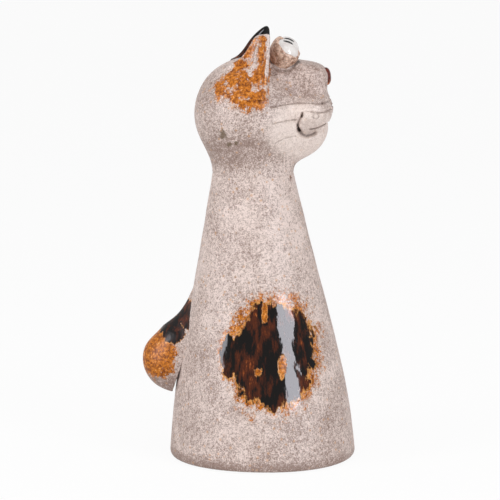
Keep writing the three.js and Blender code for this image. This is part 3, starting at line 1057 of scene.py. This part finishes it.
def body_areas(tree, place):
    shield, islands = flank(tree, place)
    patchy = noise(tree, place, 55, 2.0, 0.5, shift=(0.2, 0.5, 0.9))
    halo = fade(tree, shield, -0.55, 0.04, 0.14, 0.54)
    halo = sums(tree, "MULTIPLY", halo, fade(tree, patchy, 0.3, 0.6, 0.8, 1.05))
    depth = shield
    for island in islands:
        depth = sums(tree, "MINIMUM", depth, sums(tree, "MULTIPLY", island, -0.25))
        halo = sums(tree, "MAXIMUM", halo, fade(tree, island, -0.5, 0.3, 0.0, 0.85))
    parts = put(tree, "ShaderNodeSeparateXYZ", {0: place})
    z = parts.outputs[2]
    foot_band = fade(tree, z, 10 * MM, 4 * MM, 0.0, 0.09)
    lower = fade(tree, z, 150 * MM, 20 * MM, 0.0, 0.025)
    # Painted shade: the clay just inside the vent hole is darkened as the hole's shadow.
    vent_shade = splash(tree, place, vent_middle - vent_way * 1.6, (2.3, 2.3, 2.4), 2.0, 0.1, 200.0)
    lower = sums(tree, "ADD", lower, fade(tree, vent_shade, 0.0, 0.2, 0.0, 0.6))
    return depth, halo, sums(tree, "ADD", foot_band, lower)


body_material = glazed_clay("Body stoneware", 0.0, body_areas)
print(body_material.name, "has", len(body_material.node_tree.nodes), "nodes")

# %% [markdown]
# On the head the iron glaze lies round the right ear and runs down the cheek in orange specks. Head
# and ear are two pieces, so one function gives the amount for both, and the glaze crosses the join
# without a break. It stops short of the ear's front edge.
# %% Orange glaze round the ear
orange_front = ball_middle[0] + 13.5


def cheek_amount(tree, place):
    foot, _, up, _ = ear_axes(-1)
    spots = [
        (ball_middle + np.array([-9, -30, 19]), (16, 22, 12), 0.8),
        (ball_middle + np.array([2, -34, 15]), (13, 18, 10), 0.8),
        (ball_middle + np.array([-2, -24, 24]), (15, 20, 14), 0.7),
        (foot + up * 5, (17, 18, 25), 0.7),
    ]
    amount = None
    for middle, half, ragged in spots:
        depth = splash(tree, place, middle, half, 2.0, ragged, 130.0)
        amount = depth if amount is None else sums(tree, "MAXIMUM", amount, depth)
    patchy = noise(tree, place, 120, 2.0, 0.5, shift=(0.4, 0.1, 0.6))
    amount = fade(tree, amount, -0.6, 0.4, 0.1, 0.68)
    amount = sums(tree, "MULTIPLY", amount, fade(tree, patchy, 0.35, 0.6, 0.68, 1.05))
    parts = put(tree, "ShaderNodeSeparateXYZ", {0: place})
    behind_rim = fade(tree, parts.outputs[0], (orange_front + 3) * MM, orange_front * MM, 0.25, 1.0)
    return sums(tree, "MULTIPLY", amount, behind_rim)


print("the orange glaze fades out ahead of x =", round(orange_front, 1), "mm")

# %% [markdown]
# The head's clay changes from place to place: the face is paler and calmer, the muzzle is mottled
# pinkish brown, and the underside of the head is darker. A band of painted shade lies in the fold under
# the muzzle. Each such area is a splash that shifts the clay's tone. Stain sits in the strokes, the
# hollows between the lumps are darkened partly as pooled glaze and partly as painted shade, and three
# small dark flaws, which are colour only, lie behind the right cheek.
# %% The head's clay
head_areas = {
    "muzzle": ((33, -12, 25), (24, 30, 11), 2.4, 0.6, 110.0),
    # The next area is painted shade in the fold under the muzzle; its tone shift darkens the clay there.
    "muzzle_fold_shade": ((31, -17, 14.5), (21, 30, 6), 2.0, 0.6, 110.0),
    "lobe": ((41, -14, -6), (9, 24, 9), 2.2, 0.5, 110.0),
    "back": ((-24, 0, 2), (30, 60, 44), 2.0, 0.4, 60.0),
    "under": ((-2, -20, -25), (36, 60, 13), 2.0, 0.5, 60.0),
    "face": ((36, -10, -10), (24, 60, 20), 2.0, 0.3, 60.0),
    "flaw one": ((-17, -33, -11), (3.0, 20, 3.6), 2.0, 2.2, 420.0),
    "flaw two": ((-13, -31, -18), (2.4, 20, 2.0), 2.0, 2.2, 420.0),
    "flaw three": ((-8, -34, -17), (2, 20, 1.6), 2.0, 2.2, 420.0),
}
tone_shifts = [
    ("muzzle", -0.15, 0.3, 0.02), ("muzzle_fold_shade", -0.3, 0.4, 0.05), ("lobe", -0.1, 0.3, 0.09),
    ("back", -0.1, 0.5, 0.02), ("under", -0.2, 0.5, 0.07), ("face", -0.2, 0.4, -0.04),
]


def stain_and_shade(tree, place, clay_colour):
    stain = put(tree, "ShaderNodeAttribute", attribute_name="stain").outputs["Fac"]
    hollow = put(tree, "ShaderNodeAttribute", attribute_name="hollow").outputs["Fac"]
    worn = noise(tree, place, 520, 3.0, 0.6, shift=(0.7, 0.7, 0.2))
    stain = sums(tree, "MULTIPLY", stain, fade(tree, worn, 0.32, 0.58, 0.4, 1.0))
    # The hollows between the lumps are darkened, partly as pooled glaze and partly as painted shade.
    pooled_glaze_and_shade = fade(tree, hollow, 0.3, 0.85, 0.0, 0.85)
    colour = mixed(tree, pooled_glaze_and_shade, clay_colour, paint(88, 76, 72))
    return mixed(tree, sums(tree, "MULTIPLY", stain, 0.85), colour, paint(92, 68, 54))


def head_material_of():
    material, tree, shader, place = start_material("Head stoneware")
    depth = {}
    for area, (at, half, square, ragged, grain) in head_areas.items():
        depth[area] = splash(tree, place, ball_middle + np.array(at), half, square, ragged, grain)
    tone = 0.02
    for area, outer, inner, shift in tone_shifts:
        tone = sums(tree, "ADD", tone, fade(tree, depth[area], outer, inner, 0.0, shift))
    calm = fade(tree, depth["face"], -0.25, 0.2, 0.0, 0.7)
    clay = use(tree, clay_group, Place=place, Tone=tone, Calm=calm)
    pinkish = fade(tree, depth["muzzle"], -0.15, 0.3, 0.0, 0.2)
    colour = mixed(tree, pinkish, clay["Colour"], paint(196, 166, 150), "MULTIPLY")
    iron = use(tree, iron_group, Place=place, Amount=cheek_amount(tree, place))
    colour = mixed(tree, iron["Cover"], colour, iron["Colour"])
    flaws = sums(tree, "MAXIMUM", depth["flaw one"], depth["flaw two"])
    flaws = sums(tree, "MAXIMUM", flaws, depth["flaw three"])
    colour = mixed(tree, fade(tree, flaws, -0.2, 0.6, 0.0, 0.8), colour, paint(98, 80, 56))
    tree.links.new(stain_and_shade(tree, place, colour), shader.inputs["Base Color"])
    gloss = sums(tree, "MULTIPLY_ADD", iron["Cover"], orange_sheen, 0.52)
    tree.links.new(gloss, shader.inputs["Roughness"])
    set_bump(tree, shader, clay["Height"], 0.35, 0.25)
    shader.inputs["IOR"].default_value = glaze_ior
    return material


head_material = head_material_of()
print(head_material.name, "has", len(head_material.node_tree.nodes), "nodes")

# %% [markdown]
# The right ear carries the orange glaze in its cup. Its rims and the fold in the cup are paler, partly
# bare clay where the glaze broke and partly a painted highlight. The left ear is dipped in the thick
# black-brown glaze. The tail has both: a dark splash on its upper side that runs out in a fringe, and
# orange below it.
# %% Ears and tail
def right_ear_areas(tree, place):
    rim = put(tree, "ShaderNodeAttribute", attribute_name="rim").outputs["Fac"]
    fold = put(tree, "ShaderNodeAttribute", attribute_name="fold").outputs["Fac"]
    amount = cheek_amount(tree, place)
    # Rim and fold get less orange and a paler tone: partly glaze broken to bare clay, partly a painted
    # highlight.
    amount = sums(tree, "MULTIPLY_ADD", rim, -0.3, amount)
    amount = sums(tree, "MULTIPLY_ADD", fold, -0.3, amount)
    return -1.0, amount, sums(tree, "MULTIPLY_ADD", rim, -0.05, sums(tree, "MULTIPLY", fold, -0.05))


def left_ear_areas(tree, place):
    return fade(tree, noise(tree, place, 60), 0.0, 0.3, 0.1, 1.0), 0.6, 0.0


def tail_areas(tree, place):
    x = tail_middle[0]
    z = tail_middle[2]
    upper = splash(tree, place, (x + 6, -6, z + 34), (8.5, 26, 10), 2.4, 0.8, 120.0)
    lower = splash(tree, place, (x - 4, -6, z + 23), (9, 26, 9.5), 2.4, 0.9, 120.0)
    dark = sums(tree, "MAXIMUM", upper, lower)
    orange = splash(tree, place, (x - 16, -6, z + 7), (16, 40, 20), 2.2, 0.7, 120.0)
    parts = put(tree, "ShaderNodeSeparateXYZ", {0: place})
    low = fade(tree, parts.outputs[2], (z + 2) * MM, (z - 16) * MM, 0.0, 0.08)
    return dark, fade(tree, orange, -0.45, 0.35, 0.0, 0.68), low


right_ear_material = glazed_clay("Right ear glaze", 0.02, right_ear_areas, 0.5)
left_ear_material = glazed_clay("Left ear glaze", 0.0, left_ear_areas, 0.55, 0.2)
tail_material = glazed_clay("Tail glaze", 0.02, tail_areas, 0.6, 0.1)
print("glazes made:", right_ear_material.name, left_ear_material.name, tail_material.name)

# %% [markdown]
# The white of the eye is a thick glossy glaze with a trace of crackle. The lid is brown mottled clay,
# with no glaze, so it is matt and has a slight bump.
# %% Eye and lid finishes
def eye_material_of():
    material, tree, shader, place = start_material("Eye white glaze")
    cloud = noise(tree, place, 260, 3.0, 0.6)
    colour = mixed(tree, fade(tree, cloud, 0.35, 0.7), paint(240, 236, 234), paint(224, 216, 213))
    cracks = put(tree, "ShaderNodeTexVoronoi", {"Vector": place, "Scale": 420.0},
                 feature="DISTANCE_TO_EDGE")
    line = fade(tree, cracks.outputs["Distance"], 0.05, 0.0, 0.0, 0.12)
    colour = mixed(tree, line, colour, paint(160, 146, 138))
    tree.links.new(colour, shader.inputs["Base Color"])
    tree.links.new(fade(tree, cloud, 0.3, 0.7, 0.12, 0.2), shader.inputs["Roughness"])
    shader.inputs["IOR"].default_value = glaze_ior
    return material


def lid_material_of():
    material, tree, shader, place = start_material("Lid mottled clay")
    blotch = noise(tree, place, 420, 4.0, 0.7, shift=(0.3, 0.8, 0.5))
    colour = mixed(tree, fade(tree, blotch, 0.34, 0.64), paint(140, 98, 74), paint(232, 198, 176))
    grey = noise(tree, place, 900, 2.0, 0.6, shift=(0.6, 0.1, 0.9))
    colour = mixed(tree, fade(tree, grey, 0.52, 0.66, 0.0, 0.5), colour, paint(128, 112, 108))
    tree.links.new(colour, shader.inputs["Base Color"])
    tree.links.new(fade(tree, blotch, 0.3, 0.7, 0.45, 0.6), shader.inputs["Roughness"])
    set_bump(tree, shader, blotch, 0.4, 0.3)
    return material


eye_material = eye_material_of()
lid_material = lid_material_of()
print("finishes made:", eye_material.name, lid_material.name)

# %% [markdown]
# The nose is red-brown glaze that thins to orange at its lower edge, where it ran. The pupils are one
# stroke of black glaze.
# %% Nose and pupil finishes
def nose_material_of():
    material, tree, shader, place = start_material("Nose red-brown glaze")
    parts = put(tree, "ShaderNodeSeparateXYZ", {0: place})
    thin = fade(tree, parts.outputs[2], (nose_middle[2] - 1.5) * MM, (nose_middle[2] - 5) * MM)
    cloud = noise(tree, place, 500, 3.0, 0.6)
    thin = sums(tree, "MULTIPLY", thin, fade(tree, cloud, 0.25, 0.6))
    colour = mixed(tree, fade(tree, cloud, 0.35, 0.7), paint(66, 20, 14), paint(112, 42, 26))
    colour = mixed(tree, thin, colour, paint(178, 104, 66))
    tree.links.new(colour, shader.inputs["Base Color"])
    tree.links.new(fade(tree, cloud, 0.3, 0.7, 0.22, 0.32), shader.inputs["Roughness"])
    shader.inputs["IOR"].default_value = glaze_ior
    return material


def pupil_material_of():
    material, tree, shader, place = start_material("Pupil black glaze")
    cloud = noise(tree, place, 800, 2.0, 0.6)
    colour = mixed(tree, fade(tree, cloud, 0.3, 0.7), paint(12, 10, 10), paint(34, 26, 24))
    tree.links.new(colour, shader.inputs["Base Color"])
    tree.links.new(fade(tree, cloud, 0.3, 0.7, 0.15, 0.3), shader.inputs["Roughness"])
    return material


nose_material = nose_material_of()
pupil_material = pupil_material_of()
print("finishes made:", nose_material.name, pupil_material.name)

# %% [markdown]
# Each piece now gets its material, rides on the frame's one body and hides the CAD nodes that it stands
# for.
# %% Dress the pieces
def dress(piece, material, slot, *nodes):
    piece.data.materials.clear()
    piece.data.materials.append(material)
    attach(piece, "root")
    if nodes:
        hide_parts(*nodes)


dress(body, body_material, "stoneware", "body_cone")
dress(head, head_material, "stoneware", "head_shell", "snout", "lower_jaw",
      "whisker_pad_left", "whisker_pad_right")
dress(nose, nose_material, "nose_glaze", "nose_tip")
dress(tail, tail_material, "iron_glaze", "tail")
dress(ears[-1], right_ear_material, "iron_glaze", "ear_right")
dress(ears[1], left_ear_material, "dark_glaze", "ear_left")
for side, word in ((-1, "right"), (1, "left")):
    dress(eyeballs[side], eye_material, "white_glaze", "eyeball_" + word)
    dress(lids[side], lid_material, "lid_clay", "eyelid_" + word)
    dress(pupils[side], pupil_material, "dark_glaze")
print("pieces dressed:", 6 + len(eyeballs) + len(lids) + len(pupils))

# %% [markdown]
# The cat stands on a plain pale floor in a white room. For the camera the floor is nearly as
# bright as the room, and it keeps the soft shadow round the foot.
# %% Floor and room
floor_reach = 12.0
room_light = 0.44


def seen_directly(tree):
    """1 for rays from the camera, from a glossy surface or through glass, 0 for the rest."""
    path = tree.nodes.new("ShaderNodeLightPath").outputs
    seen = sums(tree, "MAXIMUM", path["Is Camera Ray"], path["Is Glossy Ray"])
    return sums(tree, "MAXIMUM", seen, path["Is Transmission Ray"])


def floor_material_of():
    material, tree, shader, _ = start_material("Pale studio floor")
    shader.inputs["Base Color"].default_value = (0.93, 0.93, 0.93, 1.0)
    shader.inputs["Roughness"].default_value = 0.9
    glow = put(tree, "ShaderNodeEmission", {"Color": (1, 1, 1, 1), "Strength": 1.0})
    blend = put(tree, "ShaderNodeMixShader", {0: sums(tree, "MULTIPLY", seen_directly(tree), 0.92),
                                              1: shader.outputs[0], 2: glow.outputs[0]})
    tree.links.new(blend.outputs[0], tree.nodes["Material Output"].inputs["Surface"])
    return material


def flat_sheet(name, half_x, half_y):
    mesh = bpy.data.meshes.new(name)
    corners = [(-half_x, -half_y, 0), (half_x, -half_y, 0), (half_x, half_y, 0), (-half_x, half_y, 0)]
    mesh.from_pydata(corners, [], [(0, 1, 2, 3)])
    return mesh


floor_mesh = flat_sheet("studio_floor", floor_reach, floor_reach)
floor = bpy.data.objects.new("studio_floor", floor_mesh)
bpy.context.scene.collection.objects.link(floor)
floor_mesh.materials.append(floor_material_of())
floor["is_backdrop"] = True

room = bpy.data.worlds.new("White room")
room.use_nodes = True
bpy.context.scene.world = room
tree = room.node_tree
tree.nodes.clear()
soft = put(tree, "ShaderNodeBackground", {"Color": (1, 1, 1, 1), "Strength": room_light})
white = put(tree, "ShaderNodeBackground", {"Color": (1, 1, 1, 1), "Strength": 1.0})
blend = put(tree, "ShaderNodeMixShader", {0: seen_directly(tree), 1: soft.outputs[0],
                                          2: white.outputs[0]})
out = tree.nodes.new("ShaderNodeOutputWorld")
tree.links.new(blend.outputs[0], out.inputs["Surface"])
print("floor", 2 * floor_reach, "m wide, room light", room_light)

# %% [markdown]
# Three soft boxes light the cat, from the right, from the left and from above. The lamps themselves
# show in no reflection. Two glowing sheets show there instead, and do nothing else: the one on the
# right draws the long pale stripe down the glassy splash, and a weaker one stands on the left.
# %% Soft boxes
height = cad_high[2] - cad_low[2]
aim = Vector((1.2 * MM, 0.0, 0.4827 * height))


def aim_at_cat(thing, azimuth, elevation, distance):
    a = math.radians(azimuth)
    e = math.radians(elevation)
    way = Vector((math.sin(a) * math.cos(e), -math.cos(a) * math.cos(e), math.sin(e)))
    thing.location = aim + way * distance
    thing.rotation_euler = way.to_track_quat("Z", "Y").to_euler()
    bpy.context.scene.collection.objects.link(thing)


def soft_box(name, azimuth, elevation, distance, width, tall, watts):
    lamp = bpy.data.lights.new(name, "AREA")
    lamp.shape = "RECTANGLE"
    lamp.size = width
    lamp.size_y = tall
    lamp.energy = watts
    stand = bpy.data.objects.new(name, lamp)
    stand.visible_glossy = False
    aim_at_cat(stand, azimuth, elevation, distance)


def soft_face(name, azimuth, elevation, distance, width, tall, strength):
    """The bright cloth of a soft box, which only shows as a reflection in the glossy glaze."""
    mesh = flat_sheet(name, width / 2, tall / 2)
    face = bpy.data.objects.new(name, mesh)
    aim_at_cat(face, azimuth, elevation, distance)
    material = bpy.data.materials.new(name + "_cloth")
    material.use_nodes = True
    tree = material.node_tree
    tree.nodes.clear()
    glow = put(tree, "ShaderNodeEmission", {"Color": (0.94, 0.93, 1.0, 1.0), "Strength": strength})
    out = tree.nodes.new("ShaderNodeOutputMaterial")
    tree.links.new(glow.outputs[0], out.inputs["Surface"])
    mesh.materials.append(material)
    face.visible_camera = False
    face.visible_diffuse = False
    face.visible_shadow = False
    face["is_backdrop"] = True


soft_box("soft_box_right", 47, 18, 1.6, 0.42, 1.2, 7.0)
soft_box("soft_box_left", -56, 22, 1.6, 0.6, 1.2, 8.0)
soft_box("soft_box_top", -5, 65, 1.8, 1.2, 1.2, 8.0)
soft_face("soft_face_right", 48, 14, 1.7, 0.6, 1.1, 33.0)
soft_face("soft_face_left", -57, 14, 1.7, 0.4, 1.1, 21.0)

# %% [markdown]
# A long lens from two metres away keeps near and far parts almost the same size. The camera looks at
# the cat's right side, and stands higher than its head, so it looks down a little.
# %% Camera
camera_distance = 2.1
camera_height = 0.48
camera_turn = math.radians(3.0)
camera_data = bpy.data.cameras.new("studio_camera")
camera_data.lens = 219.744
camera_data.sensor_width = 36.0
camera = bpy.data.objects.new("studio_camera", camera_data)
camera.location = Vector((aim.x + camera_distance * math.sin(camera_turn),
                          -camera_distance * math.cos(camera_turn), camera_height))
camera.rotation_euler = (camera.location - aim).to_track_quat("Z", "Y").to_euler()
bpy.context.scene.collection.objects.link(camera)
bpy.context.scene.camera = camera
bpy.context.scene.view_settings.view_transform = "Standard"
print("camera at", [round(v, 3) for v in camera.location])

# %% [markdown]
# Last, the box of the finished model is printed, to set beside the CAD box printed at the start.
# %% Print the visual box
low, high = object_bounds()
print("visual box in metres:", [round(v, 4) for v in (*low, *high)])
